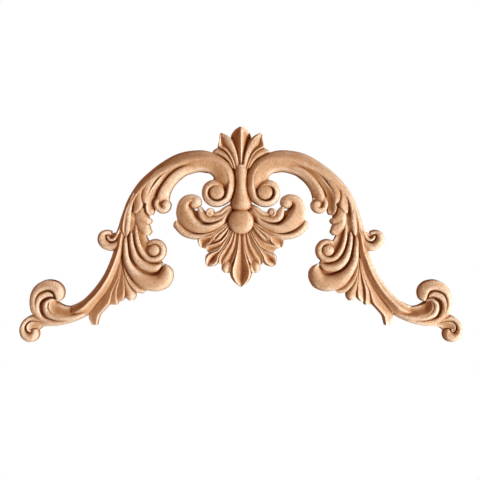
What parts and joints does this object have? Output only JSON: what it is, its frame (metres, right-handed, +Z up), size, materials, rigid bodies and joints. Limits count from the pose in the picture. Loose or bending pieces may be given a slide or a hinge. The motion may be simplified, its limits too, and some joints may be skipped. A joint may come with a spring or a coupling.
{
  "type": "corner applique",
  "caption": "Carved wooden corner applique: two arched acanthus scrolls meeting at a round boss with a leaf crest, a fan of leaves below and curled ends, flat at the back.",
  "frame": {"origin": "on the flat back, behind the middle of the round boss", "axes": "+X to the viewer's right along the applique's width, +Z up towards the crest, and the carved face to -Y, so the back's normal is +Y"},
  "size_m": [0.3198, 0.0155, 0.1545],
  "materials": {
    "wood": "satin"
  },
  "bodies": {
    "root": {"applique": "wood"}
  },
  "joints": []
}
